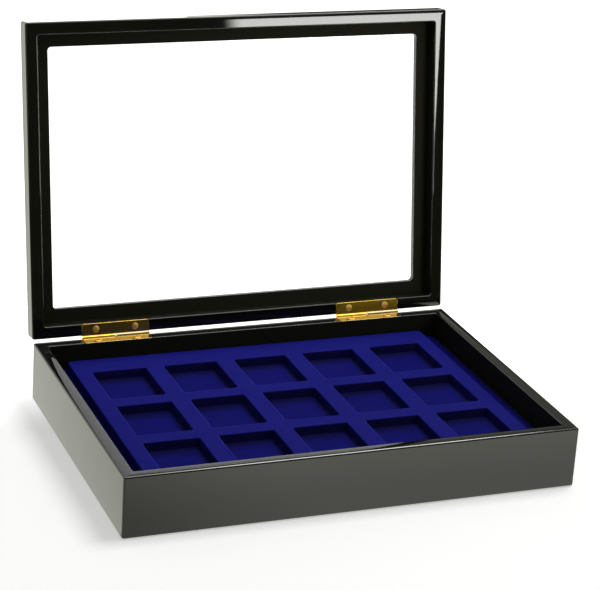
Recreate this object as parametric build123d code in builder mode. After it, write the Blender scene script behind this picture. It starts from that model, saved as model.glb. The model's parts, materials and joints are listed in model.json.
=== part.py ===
from build123d import *
from math import atan2, degrees, radians, tan
import os

# Display case for pocket lighters: a lacquered wooden box with a windowed lid,
# two brass stop hinges and a flocked tray with fifteen compartments.
# Millimetres, +Z up. The origin is the middle of the underside, the front
# board faces -Y and the lid stands open behind, as far as its hinges let it.

# Case
case_length = 400.0
case_depth = 282.0
case_height = 54.0
wall = 11.0
outer_corner_radius = 2.2
inner_corner_radius = 2.0
outer_edge_round = 1.2
inner_edge_round = 1.0

# Bottom panel in its rebate, and the felt under it
bottom_thickness = 5.0
bottom_rebate = 5.0
bottom_clearance = 0.2
felt_thickness = 0.8
felt_margin = 2.5

# Lid
lid_rail_height = 14.4
top_thickness = 8.1
top_edge_round = 7.6
window_margin = 23.4
window_radius = 3.4
window_edge_round = 0.6
glass_thickness = 2.0
glass_rebate = 5.0
glass_clearance = 0.4
glass_set_down = 0.3

# Hinges
open_angle = 99.1
hinge_inset = 45.5
hinge_length = 63.0
leaf_thickness = 0.8
leaf_corner_radius = 2.2
leaf_edge_round = 0.3
leaf_clearance = 0.15
barrel_diameter = 2.5
barrel_clearance = 0.05
pin_diameter = 1.2
pin_clearance = 0.03
pin_end_chamfer = 0.2
stop_length = 2.2
stop_end_clearance = 0.1
stop_closing_play = 1.5
stop_notch_direction = 159.0

# Hinge screws
screw_spacing = 36.6
screw_inset = 5.6
screw_head_diameter = 6.4
screw_dome = 0.4
screw_cone_angle = 90.0
screw_shank_diameter = 2.6
screw_length = 12.0
screw_point = 2.5
screw_clearance = 0.05
cross_length = 3.6
cross_width = 0.7
cross_depth = 1.1

# Compartment tray
tray_top = 39.0
tray_sheet = 1.2
tray_rise = 8.0
tray_flange = 15.5
tray_draft = 10.0
tray_side_clearance = 1.5
tray_end_clearance = 1.0
tray_corner_radius = 4.0
tray_edge_round = 1.0
pocket_columns = 5
pocket_rows = 3
side_land = 14.95
front_land = 15.4
back_land = 28.3
column_land = 16.9
row_land = 16.0
pocket_draft = 4.0
pocket_corner_radius = 2.0

# Ledges that carry the tray
ledge_width = 9.0
ledge_height = 8.0

# Sizes that follow from the ones above
inner_length = case_length - 2 * wall
inner_depth = case_depth - 2 * wall
half_length = case_length / 2
half_depth = case_depth / 2
barrel_radius = barrel_diameter / 2
rim_gap = barrel_diameter - 2 * leaf_thickness
axis_y = half_depth + barrel_radius + barrel_clearance
axis_z = case_height + rim_gap / 2
lid_rim = case_height + rim_gap
lid_recess_face = lid_rim + lid_rail_height
lid_top = lid_recess_face + top_thickness
tray_seat = tray_top - tray_rise - tray_sheet
hinge_spacing = case_length - 2 * hinge_inset - hinge_length

# The lid is drawn as it lies when closed and level, on planes that are then
# turned open about the hinge pins.
opened = (
    Location((0, axis_y, axis_z))
    * Location((0, 0, 0), (-open_angle, 0, 0))
    * Location((0, -axis_y, -axis_z))
)
lid_up = Axis(Plane(opened).origin, Plane(opened).z_dir)


def lid_level(height):
    return Plane(opened * Location((0, 0, height)))


# Mitre planes run at 45 degrees through the corners. The front and back
# pieces lie on their upper side, the left and right pieces on their lower.
def mitre(x_side, y_side, turn=Location()):
    corner = Plane(
        origin=(x_side * half_length, y_side * half_depth, 0),
        x_dir=(0, 0, 1),
        z_dir=(-x_side, y_side, 0),
    )
    return Plane(turn * corner.location)


# Frame of the case, cut into its four boards below
with BuildPart() as case_frame:
    with BuildSketch(Plane.XY.offset(felt_thickness)):
        RectangleRounded(case_length, case_depth, outer_corner_radius)
        RectangleRounded(inner_length, inner_depth, inner_corner_radius, mode=Mode.SUBTRACT)
    extrude(amount=case_height - felt_thickness)
    rim = case_frame.faces().sort_by(Axis.Z)[-1]
    fillet(rim.outer_wire().edges(), outer_edge_round)
    rim = case_frame.faces().sort_by(Axis.Z)[-1]
    fillet(rim.inner_wires()[0].edges(), inner_edge_round)
    foot = case_frame.faces().sort_by(Axis.Z)[0]
    fillet(foot.outer_wire().edges(), outer_edge_round)
    with BuildSketch(Plane.XY.offset(felt_thickness)):
        Rectangle(inner_length + 2 * bottom_rebate, inner_depth + 2 * bottom_rebate)
    extrude(amount=bottom_thickness, mode=Mode.SUBTRACT)

with BuildPart() as front_board:
    add(case_frame.part)
    split(bisect_by=mitre(-1, -1), keep=Keep.TOP)
    split(bisect_by=mitre(1, -1), keep=Keep.TOP)

with BuildPart() as left_board:
    add(case_frame.part)
    split(bisect_by=mitre(-1, -1), keep=Keep.BOTTOM)
    split(bisect_by=mitre(-1, 1), keep=Keep.BOTTOM)

with BuildPart() as right_board:
    add(case_frame.part)
    split(bisect_by=mitre(1, -1), keep=Keep.BOTTOM)
    split(bisect_by=mitre(1, 1), keep=Keep.BOTTOM)

# The back board is let in for the hinge leaves and drilled for their screws.
# The cone of each screw head passes through the leaf into the wood.
rim_middle = half_depth - screw_inset
shank_hole = screw_shank_diameter / 2 + screw_clearance
wood_sink = screw_head_diameter / 2 - leaf_thickness + screw_clearance

with BuildPart() as back_board:
    add(case_frame.part)
    split(bisect_by=mitre(-1, 1), keep=Keep.TOP)
    split(bisect_by=mitre(1, 1), keep=Keep.TOP)
    with BuildSketch(Plane.XY.offset(case_height)):
        with Locations((0, half_depth - wall / 2)):
            with GridLocations(hinge_spacing, 1, 2, 1):
                Rectangle(hinge_length + 2 * leaf_clearance, wall)
    extrude(amount=-leaf_thickness, mode=Mode.SUBTRACT)
    with Locations((0, rim_middle, case_height - leaf_thickness)):
        with GridLocations(hinge_spacing, 1, 2, 1):
            with GridLocations(screw_spacing, 1, 2, 1):
                CounterSinkHole(shank_hole, wood_sink, screw_length, screw_cone_angle)

with BuildPart() as bottom_panel:
    with BuildSketch(Plane.XY.offset(felt_thickness)):
        Rectangle(
            inner_length + 2 * (bottom_rebate - bottom_clearance),
            inner_depth + 2 * (bottom_rebate - bottom_clearance),
        )
    extrude(amount=bottom_thickness)

with BuildPart() as underside_felt:
    with BuildSketch():
        RectangleRounded(
            case_length - 2 * felt_margin, case_depth - 2 * felt_margin, outer_corner_radius
        )
    extrude(amount=felt_thickness)

# Ledges glued round the inside, their tops where the tray comes down
with BuildPart() as left_ledge:
    with BuildSketch(Plane.XY.offset(tray_seat)):
        with Locations((-(inner_length - ledge_width) / 2, 0)):
            Rectangle(ledge_width, inner_depth - 2 * inner_corner_radius)
    extrude(amount=-ledge_height)

with BuildPart() as right_ledge:
    with BuildSketch(Plane.XY.offset(tray_seat)):
        with Locations(((inner_length - ledge_width) / 2, 0)):
            Rectangle(ledge_width, inner_depth - 2 * inner_corner_radius)
    extrude(amount=-ledge_height)

with BuildPart() as front_ledge:
    with BuildSketch(Plane.XY.offset(tray_seat)):
        with Locations((0, -(inner_depth - ledge_width) / 2)):
            Rectangle(inner_length - 2 * ledge_width, ledge_width)
    extrude(amount=-ledge_height)

with BuildPart() as back_ledge:
    with BuildSketch(Plane.XY.offset(tray_seat)):
        with Locations((0, (inner_depth - ledge_width) / 2)):
            Rectangle(inner_length - 2 * ledge_width, ledge_width)
    extrude(amount=-ledge_height)

# Tray formed from one sheet: a flange, a raised block with drafted sides and
# the compartments sunk in it. Its hollow underside follows one sheet below.
flange_length = inner_length - 2 * tray_side_clearance
flange_depth = inner_depth - 2 * tray_end_clearance
block_length = flange_length - 2 * tray_flange
block_depth = flange_depth - 2 * (tray_rise + tray_sheet) * tan(radians(tray_draft))
pocket_length = (block_length - 2 * side_land + column_land) / pocket_columns - column_land
pocket_width = (block_depth - front_land - back_land + row_land) / pocket_rows - row_land
pocket_pitch_x = pocket_length + column_land
pocket_pitch_y = pocket_width + row_land
pocket_row_shift = (front_land - back_land) / 2

with BuildPart() as tray_hollow:
    with BuildSketch(Plane.XY.offset(tray_top - tray_sheet)):
        RectangleRounded(
            block_length - 2 * tray_sheet,
            block_depth - 2 * tray_sheet,
            tray_corner_radius - tray_sheet,
        )
    extrude(amount=-tray_rise, taper=-tray_draft)
    with BuildSketch(Plane.XY.offset(tray_top)):
        with Locations((0, pocket_row_shift)):
            with GridLocations(pocket_pitch_x, pocket_pitch_y, pocket_columns, pocket_rows):
                RectangleRounded(
                    pocket_length + 2 * tray_sheet,
                    pocket_width + 2 * tray_sheet,
                    pocket_corner_radius + tray_sheet,
                )
    extrude(amount=tray_seat - tray_top, taper=pocket_draft, mode=Mode.SUBTRACT)

with BuildPart() as compartment_tray:
    with BuildSketch(Plane.XY.offset(tray_seat)):
        RectangleRounded(flange_length, flange_depth, tray_corner_radius)
    extrude(amount=tray_sheet)
    with BuildSketch(Plane.XY.offset(tray_top)):
        RectangleRounded(block_length, block_depth, tray_corner_radius)
    extrude(amount=tray_seat - tray_top, taper=-tray_draft)
    with BuildSketch(Plane.XY.offset(tray_top)):
        with Locations((0, pocket_row_shift)):
            with GridLocations(pocket_pitch_x, pocket_pitch_y, pocket_columns, pocket_rows):
                RectangleRounded(pocket_length, pocket_width, pocket_corner_radius)
    extrude(amount=-tray_rise, taper=pocket_draft, mode=Mode.SUBTRACT)
    plateau = compartment_tray.faces().sort_by(Axis.Z)[-1]
    fillet(plateau.edges(), tray_edge_round)
    add(tray_hollow.part, mode=Mode.SUBTRACT)

# Lid frame, cut into its four rails
with BuildPart() as lid_frame:
    with BuildSketch(lid_level(lid_rim)):
        RectangleRounded(case_length, case_depth, outer_corner_radius)
        RectangleRounded(inner_length, inner_depth, inner_corner_radius, mode=Mode.SUBTRACT)
    extrude(amount=lid_rail_height)
    rim = lid_frame.faces().sort_by(lid_up)[0]
    fillet(rim.outer_wire().edges(), outer_edge_round)
    rim = lid_frame.faces().sort_by(lid_up)[0]
    fillet(rim.inner_wires()[0].edges(), inner_edge_round)

with BuildPart() as lid_front_rail:
    add(lid_frame.part)
    split(bisect_by=mitre(-1, -1, opened), keep=Keep.TOP)
    split(bisect_by=mitre(1, -1, opened), keep=Keep.TOP)

with BuildPart() as lid_left_rail:
    add(lid_frame.part)
    split(bisect_by=mitre(-1, -1, opened), keep=Keep.BOTTOM)
    split(bisect_by=mitre(-1, 1, opened), keep=Keep.BOTTOM)

with BuildPart() as lid_right_rail:
    add(lid_frame.part)
    split(bisect_by=mitre(1, -1, opened), keep=Keep.BOTTOM)
    split(bisect_by=mitre(1, 1, opened), keep=Keep.BOTTOM)

with BuildPart() as lid_back_rail:
    add(lid_frame.part)
    split(bisect_by=mitre(-1, 1, opened), keep=Keep.TOP)
    split(bisect_by=mitre(1, 1, opened), keep=Keep.TOP)
    with BuildSketch(lid_level(lid_rim)):
        with Locations((0, half_depth - wall / 2)):
            with GridLocations(hinge_spacing, 1, 2, 1):
                Rectangle(hinge_length + 2 * leaf_clearance, wall)
    extrude(amount=leaf_thickness, mode=Mode.SUBTRACT)
    with Locations(-lid_level(lid_rim + leaf_thickness)):
        with Locations((0, -rim_middle, 0)):
            with GridLocations(hinge_spacing, 1, 2, 1):
                with GridLocations(screw_spacing, 1, 2, 1):
                    CounterSinkHole(shank_hole, wood_sink, screw_length, screw_cone_angle)

# Lid top: one board with a rounded outer edge, the window, and a rebate in
# the outer face that the pane lies in.
window_length = case_length - 2 * window_margin
window_depth = case_depth - 2 * window_margin
glass_seat = lid_top - glass_set_down - glass_thickness
lid_core = Plane(opened * Location((0, 0, lid_recess_face + top_thickness / 2)))
lid_end = Plane(lid_core.origin, x_dir=lid_core.y_dir, z_dir=lid_core.x_dir)
lid_side = Plane(lid_core.origin, x_dir=lid_core.x_dir, z_dir=-lid_core.y_dir)

with BuildPart() as lid_top_board:
    with BuildSketch(lid_end) as end_profile:
        Rectangle(case_depth, top_thickness)
        fillet(end_profile.vertices().group_by(Axis.Y)[-1], top_edge_round)
    extrude(amount=half_length, both=True)
    with BuildSketch(lid_side) as side_profile:
        Rectangle(case_length, top_thickness)
        fillet(side_profile.vertices().group_by(Axis.Y)[-1], top_edge_round)
    extrude(amount=half_depth, both=True, mode=Mode.INTERSECT)
    corner_edges = lid_top_board.edges().filter_by(lid_up)
    crease_edges = lid_top_board.edges().filter_by(GeomType.LINE, reverse=True)
    fillet(corner_edges + crease_edges, outer_corner_radius)
    with BuildSketch(lid_level(lid_recess_face)):
        RectangleRounded(window_length, window_depth, window_radius)
    extrude(amount=top_thickness, mode=Mode.SUBTRACT)
    with BuildSketch(lid_level(glass_seat)):
        RectangleRounded(
            window_length + 2 * glass_rebate,
            window_depth + 2 * glass_rebate,
            window_radius + glass_rebate,
        )
    extrude(amount=glass_set_down + glass_thickness, mode=Mode.SUBTRACT)
    recess_face = lid_top_board.faces().sort_by(lid_up)[0]
    fillet(recess_face.inner_wires()[0].edges(), window_edge_round)

with BuildPart() as glass_pane:
    with BuildSketch(lid_level(glass_seat)):
        RectangleRounded(
            window_length + 2 * (glass_rebate - glass_clearance),
            window_depth + 2 * (glass_rebate - glass_clearance),
            window_radius + glass_rebate - glass_clearance,
        )
    extrude(amount=glass_thickness)

# Stop hinges. Each barrel has two knuckles, the lid's on the left and the
# case's on the right. Where they meet, each ends in a dog that fills part of
# the circle. The dogs land on each other when the lid is fully open, and the
# part of the circle left free then shows forward as a notch.
closing_drop = degrees(atan2(rim_gap, case_depth))
free_turn = open_angle + closing_drop + stop_closing_play
dog_turn = (360 - free_turn) / 2
case_dog_start = stop_notch_direction + free_turn / 2
lid_dog_start = stop_notch_direction - free_turn / 2 - dog_turn + open_angle
knuckle_length = (hinge_length - stop_length) / 2
dog_length = stop_length - stop_end_clearance
leaf_width = wall - leaf_clearance


def barrel_plane(x, turn=Location()):
    square = Plane(origin=(x, axis_y, axis_z), x_dir=(0, 1, 0), z_dir=(1, 0, 0))
    return Plane(turn * square.location)


with BuildPart() as case_leaf:
    with BuildSketch(Plane.XY.offset(case_height)):
        with Locations((0, half_depth - leaf_width / 2)):
            Rectangle(hinge_length, leaf_width)
    extrude(amount=-leaf_thickness)
    front_corners = case_leaf.edges().filter_by(Axis.Z).group_by(Axis.Y)[0]
    fillet(front_corners, leaf_corner_radius)
    shown_edges = case_leaf.faces().sort_by(Axis.Z)[-1].edges().sort_by(Axis.Y)[:-1]
    fillet(shown_edges, leaf_edge_round)
    with BuildSketch(barrel_plane(stop_length / 2)):
        Circle(barrel_radius)
        with Locations((-(axis_y - half_depth) / 2, -(rim_gap + leaf_thickness) / 2)):
            Rectangle(axis_y - half_depth, leaf_thickness)
    extrude(amount=knuckle_length)
    with BuildSketch(barrel_plane(stop_length / 2)):
        with BuildLine():
            rim_arc = CenterArc((0, 0), barrel_radius, case_dog_start, dog_turn)
            Polyline(rim_arc @ 1, (0, 0), rim_arc @ 0)
        make_face()
    extrude(amount=-dog_length)
    with BuildSketch(barrel_plane(-hinge_length / 2)):
        Circle(pin_diameter / 2)
    extrude(amount=hinge_length, mode=Mode.SUBTRACT)
    with Locations((0, rim_middle, case_height)):
        with GridLocations(screw_spacing, 1, 2, 1):
            CounterSinkHole(
                shank_hole, screw_head_diameter / 2, 2 * leaf_thickness, screw_cone_angle
            )

with BuildPart() as lid_leaf:
    with BuildSketch(lid_level(lid_rim)):
        with Locations((0, half_depth - leaf_width / 2)):
            Rectangle(hinge_length, leaf_width)
    extrude(amount=leaf_thickness)
    lid_front = Axis(lid_core.origin, -lid_core.y_dir)
    front_corners = lid_leaf.edges().filter_by(lid_up).group_by(lid_front)[-1]
    fillet(front_corners, leaf_corner_radius)
    shown_edges = lid_leaf.faces().sort_by(lid_up)[0].edges().sort_by(lid_front)[1:]
    fillet(shown_edges, leaf_edge_round)
    with BuildSketch(barrel_plane(-stop_length / 2, opened)):
        Circle(barrel_radius)
        with Locations((-(axis_y - half_depth) / 2, (rim_gap + leaf_thickness) / 2)):
            Rectangle(axis_y - half_depth, leaf_thickness)
    extrude(amount=-knuckle_length)
    with BuildSketch(barrel_plane(-stop_length / 2, opened)):
        with BuildLine():
            rim_arc = CenterArc((0, 0), barrel_radius, lid_dog_start, dog_turn)
            Polyline(rim_arc @ 1, (0, 0), rim_arc @ 0)
        make_face()
    extrude(amount=dog_length)
    with BuildSketch(barrel_plane(-hinge_length / 2)):
        Circle(pin_diameter / 2 + pin_clearance)
    extrude(amount=hinge_length, mode=Mode.SUBTRACT)
    with Locations(-lid_level(lid_rim)):
        with Locations((0, -rim_middle, 0)):
            with GridLocations(screw_spacing, 1, 2, 1):
                CounterSinkHole(
                    shank_hole, screw_head_diameter / 2, 2 * leaf_thickness, screw_cone_angle
                )

with BuildPart() as hinge_pin:
    with BuildSketch(barrel_plane(-hinge_length / 2)):
        Circle(pin_diameter / 2)
    extrude(amount=hinge_length)
    chamfer(hinge_pin.faces().filter_by(Axis.X).edges(), pin_end_chamfer)

# Screw with a domed, cross-slotted countersunk head; z = 0 is the leaf's face
head_radius = screw_head_diameter / 2
shank_radius = screw_shank_diameter / 2
cone_depth = (head_radius - shank_radius) / tan(radians(screw_cone_angle / 2))

with BuildPart() as hinge_screw:
    with BuildSketch(Plane.XZ):
        with BuildLine():
            ThreePointArc(
                (-head_radius, 0),
                (0, screw_dome),
                (head_radius, 0),
            )
            Polyline(
                (head_radius, 0),
                (shank_radius, -cone_depth),
                (shank_radius, screw_point - screw_length),
                (0, -screw_length),
                (-shank_radius, screw_point - screw_length),
                (-shank_radius, -cone_depth),
                (-head_radius, 0),
            )
        make_face()
        split(bisect_by=Plane.YZ)
    revolve(axis=Axis.Z)
    with BuildSketch(Plane.XY.offset(screw_dome)):
        Rectangle(cross_length, cross_width)
        Rectangle(cross_width, cross_length)
    extrude(amount=-cross_depth, mode=Mode.SUBTRACT)

with BuildPart() as case_screws:
    with Locations((0, rim_middle, case_height)):
        with GridLocations(screw_spacing, 1, 2, 1):
            add(hinge_screw.part)

with BuildPart() as lid_screws:
    with Locations(-lid_level(lid_rim)):
        with Locations((0, -rim_middle, 0)):
            with GridLocations(screw_spacing, 1, 2, 1):
                add(hinge_screw.part)

# The same hinge stands left and right.
left_place = Location((-hinge_spacing / 2, 0, 0))
right_place = Location((hinge_spacing / 2, 0, 0))

with BuildPart() as left_hinge_case_leaf:
    with Locations(left_place):
        add(case_leaf.part)

with BuildPart() as left_hinge_lid_leaf:
    with Locations(left_place):
        add(lid_leaf.part)

with BuildPart() as left_hinge_pin:
    with Locations(left_place):
        add(hinge_pin.part)

with BuildPart() as left_hinge_case_screws:
    with Locations(left_place):
        add(case_screws.part)

with BuildPart() as left_hinge_lid_screws:
    with Locations(left_place):
        add(lid_screws.part)

with BuildPart() as right_hinge_case_leaf:
    with Locations(right_place):
        add(case_leaf.part)

with BuildPart() as right_hinge_lid_leaf:
    with Locations(right_place):
        add(lid_leaf.part)

with BuildPart() as right_hinge_pin:
    with Locations(right_place):
        add(hinge_pin.part)

with BuildPart() as right_hinge_case_screws:
    with Locations(right_place):
        add(case_screws.part)

with BuildPart() as right_hinge_lid_screws:
    with Locations(right_place):
        add(lid_screws.part)

pieces = {
    "front_board": front_board,
    "back_board": back_board,
    "left_board": left_board,
    "right_board": right_board,
    "bottom_panel": bottom_panel,
    "underside_felt": underside_felt,
    "left_ledge": left_ledge,
    "right_ledge": right_ledge,
    "front_ledge": front_ledge,
    "back_ledge": back_ledge,
    "compartment_tray": compartment_tray,
    "lid_front_rail": lid_front_rail,
    "lid_back_rail": lid_back_rail,
    "lid_left_rail": lid_left_rail,
    "lid_right_rail": lid_right_rail,
    "lid_top_board": lid_top_board,
    "glass_pane": glass_pane,
    "left_hinge_case_leaf": left_hinge_case_leaf,
    "left_hinge_lid_leaf": left_hinge_lid_leaf,
    "left_hinge_pin": left_hinge_pin,
    "left_hinge_case_screws": left_hinge_case_screws,
    "left_hinge_lid_screws": left_hinge_lid_screws,
    "right_hinge_case_leaf": right_hinge_case_leaf,
    "right_hinge_lid_leaf": right_hinge_lid_leaf,
    "right_hinge_pin": right_hinge_pin,
    "right_hinge_case_screws": right_hinge_case_screws,
    "right_hinge_lid_screws": right_hinge_lid_screws,
}

os.makedirs("parts", exist_ok=True)
for name, piece in pieces.items():
    piece.part.label = name
    export_step(piece.part, f"parts/{name}.step")
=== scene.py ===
import json
import math

import bmesh
import bpy
from mathutils import Matrix, Vector

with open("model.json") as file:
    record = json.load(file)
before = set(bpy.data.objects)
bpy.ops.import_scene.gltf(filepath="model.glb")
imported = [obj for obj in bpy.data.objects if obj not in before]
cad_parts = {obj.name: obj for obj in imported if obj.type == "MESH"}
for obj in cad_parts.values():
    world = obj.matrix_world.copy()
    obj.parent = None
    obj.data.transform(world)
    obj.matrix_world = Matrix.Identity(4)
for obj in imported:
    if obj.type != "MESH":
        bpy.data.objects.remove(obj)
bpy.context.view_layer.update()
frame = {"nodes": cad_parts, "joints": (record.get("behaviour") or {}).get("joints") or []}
nodes = frame["nodes"]


# Case boards: four mitred wooden boards, glued, filled and sprayed with black
# lacquer. The outside and the rims are polished to a mirror, which leaves them
# faintly wavy and draws the rims down at both edges; the inner faces stay matt.
class Wire:
    """An output of a shader node; the arithmetic signs add Math nodes to it."""

    def __init__(self, finish, socket):
        self.finish = finish
        self.socket = socket

    def __add__(self, other):
        return self.finish.math("ADD", self, other)

    def __sub__(self, other):
        return self.finish.math("SUBTRACT", self, other)

    def __rsub__(self, other):
        return self.finish.math("SUBTRACT", other, self)

    def __mul__(self, other):
        return self.finish.math("MULTIPLY", self, other)

    def __abs__(self):
        return self.finish.math("ABSOLUTE", self)

    def most(self, other):
        return self.finish.math("MAXIMUM", self, other)

    def above(self, edge, blur):
        """0 under edge and 1 over it, with a soft step of blur to each side."""
        smooth = {"interpolation_type": "SMOOTHSTEP"}
        return self.finish.node("ShaderNodeMapRange", smooth, self, edge - blur, edge + blur)

    __radd__ = __add__
    __rmul__ = __mul__


class Finish:
    """The shader nodes of a material or of the world.

    shader is the node that it starts with, shade that node's output, and end
    the socket that takes the finished surface."""

    def __init__(self, owner):
        owner.use_nodes = True
        self.owner = owner
        self.tree = owner.node_tree
        last = next(node for node in self.tree.nodes if node.type.startswith("OUTPUT"))
        self.end = last.inputs["Surface"]
        self.shader = self.end.links[0].from_node
        self.shade = Wire(self, self.shader.outputs[0])

    def put(self, socket, value):
        if isinstance(value, Wire):
            self.tree.links.new(value.socket, socket)
        else:
            socket.default_value = value

    def fill(self, node, named):
        sockets = {socket.identifier.replace(" ", "_"): socket for socket in node.inputs}
        for key, value in named.items():
            self.put(sockets[key], value)

    def node(self, kind, settings, *values, out=0, **named):
        """Adds a node: its settings first, then its sockets in order or by name."""
        made = self.tree.nodes.new(kind)
        for key, value in settings.items():
            setattr(made, key, value)
        for socket, value in zip(made.inputs, values):
            self.put(socket, value)
        self.fill(made, named)
        return Wire(self, made.outputs[out])

    def set(self, **named):
        self.fill(self.shader, named)

    def cover(self, shade):
        self.put(self.end, shade)

    def math(self, operation, *values):
        return self.node("ShaderNodeMath", {"operation": operation}, *values)

    def mix(self, share, first, second):
        return self.node(
            "ShaderNodeMix",
            {"data_type": "RGBA"},
            out=2,
            Factor_Float=share,
            A_Color=first,
            B_Color=second,
        )

    def place(self, scale=(1, 1, 1), turn=(0, 0, 0), shift=(0, 0, 0)):
        return self.node(
            "ShaderNodeMapping",
            {},
            Vector=self.node("ShaderNodeTexCoord", {}, out="Object"),
            Location=shift,
            Rotation=turn,
            Scale=scale,
        )

    def split(self, point):
        return [self.node("ShaderNodeSeparateXYZ", {}, point, out=axis) for axis in "XYZ"]

    def noise(self, point, scale=1.0, detail=2.0, roughness=0.5):
        return self.node(
            "ShaderNodeTexNoise",
            {},
            Vector=point,
            Scale=scale,
            Detail=detail,
            Roughness=roughness,
        )

    def bump(self, height, distance, strength=1.0):
        return self.node(
            "ShaderNodeBump", {}, Height=height, Distance=distance, Strength=strength
        )

    def both(self, share, first, second):
        return self.node("ShaderNodeMixShader", {}, share, first, second)


def material(name):
    return Finish(bpy.data.materials.new(name))


def dress(finish, *names):
    for name in names:
        mesh = nodes[name].data
        mesh.materials.clear()
        mesh.materials.append(finish.owner)


end_wall = 0.189
side_wall = 0.130
half_wall = 0.0055
case_rim = 0.054
inner_round = 0.0011
hard_edge = 0.0002
crest_from_inside = 0.0045
outer_droop = 0.12
outer_power = 8.0
lacquer_black = (0.004, 0.004, 0.003, 1.0)
lacquer_haze = (0.0075, 0.0075, 0.006, 1.0)
matt_black = (0.0042, 0.0044, 0.0024, 1.0)
matt_gleam = (1.0, 1.0, 0.7, 1.0)


def lacquer(name, waves, depth, crown, polish, turn=(0, 0, 0), shift=(0, 0, 0)):
    """Black lacquer, polished where polish gives 1 and matt where it gives 0.

    waves is the scale of its waviness on each axis and depth its height. crown
    is how far the polishing has drawn a rim down at its edges. turn and shift
    bring a point of the piece to its place on the closed case."""
    finish = material(name)
    point = finish.place(turn=turn, shift=shift)
    x, y, z = finish.split(point)
    past_wall = (abs(x) - end_wall).most(abs(y) - side_wall)
    off_crest = (past_wall - crest_from_inside) * (1 / half_wall)
    outer = finish.math("POWER", off_crest.most(0.0), outer_power)
    crest = (off_crest * off_crest + outer * outer_droop) * -crown
    swell = finish.noise(finish.place(scale=waves), detail=1.0)
    peel = finish.noise(point, scale=420.0, detail=1.0)
    smear = finish.noise(point, scale=26.0, detail=3.0)
    hairs = finish.noise(finish.place(scale=(30, 900, 900)), detail=1.0)
    grit = finish.noise(point, scale=900.0)
    finish.set(
        Base_Color=finish.mix(smear, lacquer_black, lacquer_haze),
        Roughness=0.015 + smear * 0.02 + hairs * 0.01,
        IOR=1.52,
        Normal=finish.bump((swell + peel * 0.012) * depth + crest, 1.0),
    )
    matt = finish.node(
        "ShaderNodeBsdfPrincipled",
        {},
        Base_Color=matt_black,
        Roughness=0.45 + grit * 0.2,
        Specular_IOR_Level=0.09,
        Specular_Tint=matt_gleam,
        Normal=finish.bump(grit, 0.0001, strength=0.3),
    )
    finish.cover(finish.both(polish(x, y, z), matt, finish.shade))
    return finish


def past_inner_faces(x, y):
    ends = abs(x).above(end_wall + hard_edge, hard_edge)
    sides = abs(y).above(side_wall + hard_edge, hard_edge)
    return ends + sides


def case_polish(x, y, z):
    return past_inner_faces(x, y).most(z.above(case_rim - inner_round, hard_edge))


case_lacquer = lacquer(
    "case_lacquer", waves=(28, 9, 3), depth=0.0003, crown=0.0005, polish=case_polish
)
dress(case_lacquer, "front_board", "back_board", "left_board", "right_board")

# Bottom panel and ledges: thin board let into the boards, and strips glued
# round the inside to carry the tray. Both have a satin black stain, through
# which the grain shows faintly.
stain = material("black_stain")
grain = stain.noise(stain.place(scale=(12, 160, 160)), detail=4.0)
pores = stain.noise(stain.place(scale=(90, 1400, 1400)))
stain.set(
    Base_Color=stain.mix(grain, (0.006, 0.006, 0.005, 1.0), (0.014, 0.013, 0.011, 1.0)),
    Roughness=0.42 + pores * 0.2,
    Normal=stain.bump(pores, 0.0003, strength=0.4),
)
dress(stain, "bottom_panel", "left_ledge", "right_ledge", "front_ledge", "back_ledge")

# Underside: thin black felt, cut a little smaller than the case and glued on,
# so that the case neither slides nor scratches.
felt = material("black_felt")
fibres = felt.noise(felt.place(), scale=2600.0, detail=3.0, roughness=0.7)
tufts = felt.noise(felt.place(), scale=240.0, detail=3.0)
wool = fibres * 0.7 + tufts * 0.3
felt.set(
    Base_Color=felt.mix(wool, (0.004, 0.004, 0.004, 1.0), (0.03, 0.03, 0.03, 1.0)),
    Roughness=0.95,
    Sheen_Weight=0.25,
    Sheen_Roughness=0.6,
    Normal=felt.bump(fibres * 0.6 + tufts * 0.4, 0.0002, strength=0.6),
)
dress(felt, "underside_felt")

# Lid rails: four mitred rails, lacquered and polished as the case's boards
# are. They stand open here, so their pattern is laid out on the closed lid,
# turned back about the hinge line.
lid_rim = 0.0549
open_angle = math.radians(99.1)
lid_joint = next(joint for joint in frame["joints"] if joint["child"] == "lid")
hinge_line = Vector(lid_joint["pos_m"])
closing = Matrix.Rotation(open_angle, 3, "X")
closed = {"turn": (open_angle, 0, 0), "shift": hinge_line - closing @ hinge_line}


def rail_polish(x, y, z):
    return past_inner_faces(x, y).most(1.0 - z.above(lid_rim + inner_round, hard_edge))


rail_lacquer = lacquer(
    "rail_lacquer", waves=(9, 9, 9), depth=0.0001, crown=0.00006, polish=rail_polish, **closed
)
dress(rail_lacquer, "lid_front_rail", "lid_back_rail", "lid_left_rail", "lid_right_rail")

# Lid top: one board with a rounded outer edge and a window, glued on the rails
# and lacquered with them. Its sunk inner face stays matt like their inner sides.
recess_face = 0.0693
recess_margin = 0.0004


def top_polish(x, y, z):
    return z.above(recess_face + recess_margin, hard_edge)


top_lacquer = lacquer(
    "lid_top_lacquer", waves=(9, 9, 9), depth=0.0002, crown=0.0, polish=top_polish, **closed
)
dress(top_lacquer, "lid_top_board")

# Pane: clear picture glass with polished edges, bedded in the rebate of the
# lid's outer face. It lets most of the light through to what lies under it.
glass = material("clear_glass")
glass.set(
    Base_Color=(0.985, 0.995, 0.99, 1.0),
    Roughness=0.0,
    IOR=1.5,
    Transmission_Weight=1.0,
)
shaded = glass.node("ShaderNodeLightPath", {}, out="Is Shadow Ray")
let_through = glass.node("ShaderNodeBsdfTransparent", {}, (0.9, 0.92, 0.91, 1.0))
glass.cover(glass.both(shaded, glass.shade, let_through))
dress(glass, "glass_pane")


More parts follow.
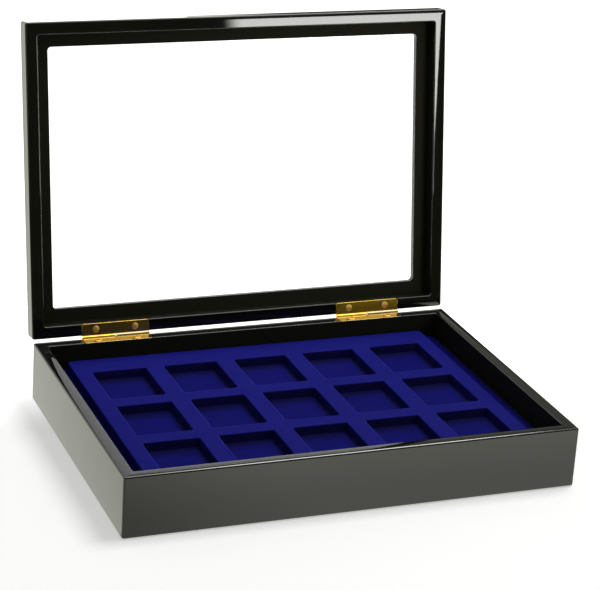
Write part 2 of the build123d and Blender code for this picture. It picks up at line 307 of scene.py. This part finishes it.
# Hinges: stamped leaves with rolled knuckles in polished brass under a clear
# gold lacquer, let into the rims, with fine lines along them from the polishing
# belt. The case leaves take a darker copy of the same brass: painted shade.
def gilt(name, deep, pale):
    brass = material(name)
    belt = brass.noise(brass.place(scale=(40, 2600, 2600)))
    cloud = brass.noise(brass.place(), scale=190.0)
    brass.set(
        Base_Color=brass.mix(cloud, deep, pale),
        Metallic=1.0,
        Roughness=0.11 + belt * 0.08,
        Coat_Weight=1.0,
        Coat_Roughness=0.05,
        Coat_IOR=1.65,
        Normal=brass.bump(belt, 0.00005, strength=0.12),
    )
    return brass


lid_brass = gilt("gold_brass", (0.76, 0.46, 0.03, 1.0), (0.86, 0.54, 0.05, 1.0))
dress(lid_brass, "left_hinge_lid_leaf", "right_hinge_lid_leaf")
# A darker copy of the lid leaves' brass for the case leaves: painted shade that dims their
# reflections.
shaded_case_brass = gilt("paled_brass", (0.37, 0.28, 0.1, 1.0), (0.45, 0.34, 0.14, 1.0))
dress(shaded_case_brass, "left_hinge_case_leaf", "right_hinge_case_leaf")

# Hinge pins: bright drawn wire, pressed into the case leaf's knuckle and free
# in the lid leaf's.
wire = material("drawn_wire")
draw = wire.noise(wire.place(scale=(60, 3000, 3000)))
wire.set(
    Base_Color=wire.mix(draw, (0.5, 0.5, 0.5, 1.0), (0.62, 0.61, 0.6, 1.0)),
    Metallic=1.0,
    Roughness=0.22 + draw * 0.1,
)
dress(wire, "left_hinge_pin", "right_hinge_pin")

# Screws: small countersunk brass wood screws with domed, cross-slotted heads,
# tumbled to a soft shine. Two hold each leaf.
tumbled = material("brass_screws")
dent = tumbled.noise(tumbled.place(), scale=1500.0)
tumbled.set(
    Base_Color=tumbled.mix(dent, (0.64, 0.39, 0.1, 1.0), (0.75, 0.47, 0.14, 1.0)),
    Metallic=1.0,
    Roughness=0.26 + dent * 0.08,
    Normal=tumbled.bump(dent, 0.00004, strength=0.3),
)
for side in ("left", "right"):
    dress(tumbled, f"{side}_hinge_case_screws", f"{side}_hinge_lid_screws")

# Compartment tray: one formed plastic sheet, flocked royal blue and laid loose
# on the ledges. Painted shade darkens its walls, its sunk floors and flange,
# each compartment's floor towards its right and back walls, and the end lips;
# a painted highlight pales the left and front edge of each compartment.
flange_start = 0.168
lip_start = 0.1845
block_top = 0.0365
block_back = 0.1
column_pitch = 0.0662
column_shift = 0.5
row_pitch = 0.07551
row_shift = 0.58542
edge_blur = 0.005

flock = material("blue_flock")
pile = flock.noise(flock.place(), scale=3200.0, roughness=0.7)
nap = flock.noise(flock.place(), scale=330.0, detail=3.0)
drift = flock.noise(flock.place(), scale=45.0, detail=3.0)
tone = pile * 0.35 + nap * 0.35 + drift * 0.3
_, _, facing_up = flock.split(flock.node("ShaderNodeTexCoord", {}, out="Normal"))
across, along, height = flock.split(flock.place())


def line(part, middle, half_width):
    return 1.0 - abs(part - middle).above(half_width, edge_blur)


def blue(deep, pale):
    return flock.mix(tone, (*deep, 1.0), (*pale, 1.0))


flange = abs(across).above(flange_start, 0.002)
lip = abs(across).above(lip_start, 0.0035)
# Painted shade: faces that are not level, the compartment walls, take the darker wall blue.
level = facing_up.above(0.55, 0.4).most(flange)
on_top = height.above(block_top, 0.002)
column_part = flock.math("FRACT", across * (1 / column_pitch) + column_shift)
row_part = flock.math("FRACT", along * (1 / row_pitch) + row_shift)
# Painted shadow: each compartment's floor darkens towards its right and back walls, and the
# flange towards the end lips.
shadow_from_walls = column_part.above(0.8, 0.08).most(row_part.above(0.76, 0.14))
wall_shadow = shadow_from_walls * (1.0 - flange)
# Painted highlight: a paler line along the left and front edge of each compartment on the
# block.
left_highlight = line(column_part, 0.12, 0.009) * line(row_part, 0.5, 0.395)
front_highlight = line(row_part, 0.098, 0.008) * line(column_part, 0.5, 0.372)
on_block = (1.0 - flange) * (1.0 - along.above(block_back, 0.0005))
edge = left_highlight.most(front_highlight) * on_block
# The sunk floors and flange take a darker blue than the top: painted shade in the recesses.
top_blue = blue((0.0026, 0.0026, 0.115), (0.0115, 0.0125, 0.285))
highlight_blue = blue((0.012, 0.014, 0.2), (0.022, 0.026, 0.36))
recess_shade_blue = blue((0.0007, 0.0007, 0.088), (0.0026, 0.0026, 0.205))
wall_shade_blue = blue((0.001, 0.001, 0.05), (0.003, 0.003, 0.11))
shadow_blue = blue((0.0005, 0.0005, 0.025), (0.002, 0.002, 0.065))
shaded_low = flock.mix(wall_shadow.most(lip * 0.8), recess_shade_blue, shadow_blue)
top_with_highlight = flock.mix(edge, top_blue, highlight_blue)
flock.set(
    Base_Color=flock.mix(level, wall_shade_blue, flock.mix(on_top, shaded_low, top_with_highlight)),
    Roughness=0.95,
    Specular_IOR_Level=0.06,
    Sheen_Weight=0.02,
    Sheen_Roughness=0.4,
    Sheen_Tint=(0.25, 0.25, 1.0, 1.0),
    Normal=flock.bump(pile * 0.6 + nap * 0.4, 0.0004, strength=0.6),
)
dress(flock, "compartment_tray")


# Floor: a plain white table that keeps the case's soft shadow. For the camera
# it also glows white, fully away from the case and behind it, which hides the
# lid's shadow there. Reflections see only a painted glow, brightest to the right
# and behind, with a painted shadow close to the front board.
def flat_sheet(name, corners, finish):
    shape = bmesh.new()
    shape.faces.new([shape.verts.new(corner) for corner in corners])
    mesh = bpy.data.meshes.new(name)
    shape.to_mesh(mesh)
    shape.free()
    mesh.materials.append(finish.owner)
    sheet = bpy.data.objects.new(name, mesh)
    bpy.context.scene.collection.objects.link(sheet)
    return sheet


def glow(finish, tint, dim, bright, share):
    """Light of one tint, whose strength goes from dim to bright with share."""
    weak = (*(part * dim for part in tint), 1.0)
    strong = (*(part * bright for part in tint), 1.0)
    return finish.node("ShaderNodeEmission", {}, finish.mix(share, weak, strong), 1.0)


floor_reach = 8
near_white = 0.44
sweep_base = 0.82
sweep_right = 1.29
sweep_back = 0.4
sweep_peak = sweep_base + sweep_right + sweep_back
front_shadow_depth = 0.28

table = material("white_table")
square = ((-1, -1), (1, -1), (1, 1), (-1, 1))
floor_corners = [(x * floor_reach, y * floor_reach, 0) for x, y in square]
floor = flat_sheet("floor", floor_corners, table)
table.set(Base_Color=(0.88, 0.88, 0.87, 1.0), Roughness=0.8, Specular_IOR_Level=0.1)
through = table.node("ShaderNodeLightPath", {}, out="Is Transmission Ray")
seen = table.node("ShaderNodeLightPath", {}, out="Is Camera Ray").most(through)
mirrored = table.node("ShaderNodeLightPath", {}, out="Is Glossy Ray") * (1.0 - through)
spot_x, spot_y, _ = table.split(table.place())
to_right = spot_x.above(-0.15, 0.15)
to_back = spot_y.above(0.15, 0.35)
# Painted shadow: the glow that reflections see dims in a band just before the front board.
front_shadow_band = spot_y.above(-0.23, 0.08) * (1.0 - spot_y.above(-0.13, 0.005))
reach = sweep_base + to_right * sweep_right + to_back * sweep_back
sweep = reach * (1.0 - front_shadow_band * front_shadow_depth) * spot_y.above(-0.42, 0.1)
distance = table.math("SQRT", spot_x * spot_x + spot_y * spot_y)
# For the camera the floor glows fully white away from the case and behind it, which hides the
# lid's shadow there.
full_white_glow = distance.above(0.5, 0.15).most(spot_y.above(0.13, 0.06))
whiteness = near_white + full_white_glow * (1 - near_white)
lift = glow(table, (1.0, 1.0, 0.99), 0.0, 1.0, seen * whiteness)
plain = table.node("ShaderNodeAddShader", {}, table.shade, lift)
# Painted reflection: a glow that only reflections see, brighter to the right and behind.
reflected_glow = glow(table, (1.0, 1.01, 0.89), 0.0, sweep_peak, sweep * (1 / sweep_peak))
table.cover(table.both(mirrored, plain, reflected_glow))

# Background: blank white wherever the camera, a reflection or the glass sees
# it, and a quieter even light on everything else.
white = (1.0, 1.0, 1.0, 1.0)
mirrored_white = (1.0, 1.0, 0.9, 1.0)
blank_white = {
    "Is Glossy Ray": mirrored_white,
    "Is Transmission Ray": white,
    "Is Camera Ray": white,
}
studio = Finish(bpy.data.worlds.new("studio"))
bpy.context.scene.world = studio.owner
studio.set(Color=white, Strength=0.25)
backdrop = studio.shade
for ray, colour in blank_white.items():
    this_ray = studio.node("ShaderNodeLightPath", {}, out=ray)
    blank = studio.node("ShaderNodeBackground", {}, colour)
    backdrop = studio.both(this_ray, backdrop, blank)
studio.cover(backdrop)


# Studio screens: flat sheets of cloth and paper hung round the case, which only
# reflections see. Each is named for its work, which the comments below give.
def screen(name, corners):
    cloth = material(name)
    sheet = flat_sheet(name, corners, cloth)
    for ray in ("camera", "diffuse", "transmission", "shadow", "volume_scatter"):
        setattr(sheet, f"visible_{ray}", False)
    return cloth


def upright(left, right, y, foot, top):
    return [(right, y, foot), (left, y, foot), (left, y, top), (right, y, top)]


# The dark curtain keeps the open lid's lacquer black. Two dark shelves reach
# from it towards the case and hide the light window from the closed lid's top.
dark_cloth = (0.078, 0.08, 0.045, 1.0)
dark_left = -0.35
shelf_right = 0.9
shelf_far = -0.6
shelf_near = -0.17


def shelf(far_z, near_z):
    return [
        (shelf_right, shelf_far, far_z),
        (dark_left, shelf_far, far_z),
        (dark_left, shelf_near, near_z),
        (shelf_right, shelf_near, near_z),
    ]


dark_screens = {
    "dark_curtain": upright(dark_left, 0.75, -0.62, 0, 0.6),
    "low_shelf": shelf(0.147, 0.158),
    "high_shelf": shelf(0.29, 0.278),
}
for name, corners in dark_screens.items():
    cloth = screen(name, corners)
    cloth.cover(cloth.node("ShaderNodeEmission", {}, dark_cloth, 1.0))

# The light window before the curtain shows as the pale bar in the rim of the
# lid's right rail.
window_y = -0.6
window_foot = 0.15
window_top = 0.4
window_corners = [
    (0.494, window_y, window_foot),
    (0.22, window_y, window_foot),
    (0.22, window_y, window_top),
    (0.577, window_y, window_top),
]
light_window = screen("light_window", window_corners)
window_x, _, _ = light_window.split(light_window.place())
opening = window_x.above(0.268, 0.014)
light_window.cover(glow(light_window, (1.0, 1.0, 0.95), 0.08, 13.58, opening))

# The grey screen behind on the right dims the rims there, most of all low down,
# and the high screen over it lights the gloss of the boards' outer edges.
back_y = 1.2
back_left = 0.28
grey_top = 1.4
grey_screen = screen("grey_screen", upright(back_left, 2.0, back_y, 0.05, grey_top))
grey_x, _, grey_z = grey_screen.split(grey_screen.place())
inside = grey_x.above(0.36, 0.08)
faded = 1.0 - grey_x.above(0.7, 0.3) * 0.75
dimmed = faded * (0.06 + grey_z.above(0.46, 0.04) * 0.84)
band = grey_x.above(0.42, 0.08) * (1.0 - grey_x.above(0.8, 0.1))
dimmer = grey_z.above(0.56, 0.04) * band * 0.45
greyness = 1.0 - inside + inside * dimmed * (1.0 - dimmer)
grey_screen.cover(glow(grey_screen, (1.0, 1.0, 0.88), 0.0, 1.0, greyness))

high_screen = screen("high_screen", upright(back_left, 1.15, back_y, grey_top, 2.3))
high_x, _, _ = high_screen.split(high_screen.place())
brighter = high_x.above(0.52, 0.1)
high_screen.cover(glow(high_screen, (1.0, 1.0, 0.97), 4.0, 13.0, brighter))

# The overhead screen gives the level faces and the brass their light.
overhead_z = 1.6
overhead_plan = ((-0.2, -0.9), (1.3, -0.9), (1.3, 0.4), (-0.2, 0.4))
overhead = screen("overhead_screen", [(x, y, overhead_z) for x, y in overhead_plan])
overhead.cover(overhead.node("ShaderNodeEmission", {}, white, 4.0))

# Lamp: one square soft box overhead, to the right and a little behind, which
# gives the case's soft shadow.
lamp_place = Vector((0.65, 0.05, 1.95))
lamp_data = bpy.data.lights.new("overhead_box", "AREA")
lamp_data.shape = "RECTANGLE"
lamp_data.size = 0.8
lamp_data.size_y = 0.8
lamp_data.energy = 18
lamp = bpy.data.objects.new("overhead_box", lamp_data)
bpy.context.scene.collection.objects.link(lamp)
lamp.location = lamp_place
lamp.rotation_mode = "QUATERNION"
lamp.rotation_quaternion = (-lamp_place).to_track_quat("-Z", "Y")
lamp.visible_camera = False

# Camera: stands to the left of the case and looks down on it. Its place, turn
# and lens were fitted to the photograph, in metres, radians and millimetres.
camera_turn = -0.3886425235
camera_tilt = 0.3660430412
camera_roll = 0.0647620508
camera_distance = 1.8766664
camera_target = Vector((0.00322, 0.019, 0.1298118))
level_ahead = Vector((-math.sin(camera_turn), math.cos(camera_turn), 0))
ahead = level_ahead * math.cos(camera_tilt) - Vector((0, 0, math.sin(camera_tilt)))
level_right = Vector((math.cos(camera_turn), math.sin(camera_turn), 0))
upward = level_right.cross(ahead)
right = level_right * math.cos(camera_roll) + upward * math.sin(camera_roll)
top = upward * math.cos(camera_roll) - level_right * math.sin(camera_roll)
camera_data = bpy.data.cameras.new("camera")
camera_data.sensor_width = 36.0
camera_data.lens = 130.634
camera_data.clip_start = 0.05
camera_data.clip_end = 50.0
camera = bpy.data.objects.new("camera", camera_data)
bpy.context.scene.collection.objects.link(camera)
facing_case = Matrix((right, top, -ahead)).transposed().to_4x4()
camera.matrix_world = Matrix.Translation(camera_target - ahead * camera_distance) @ facing_case
bpy.context.scene.camera = camera
bpy.context.scene.view_settings.view_transform = "Standard"
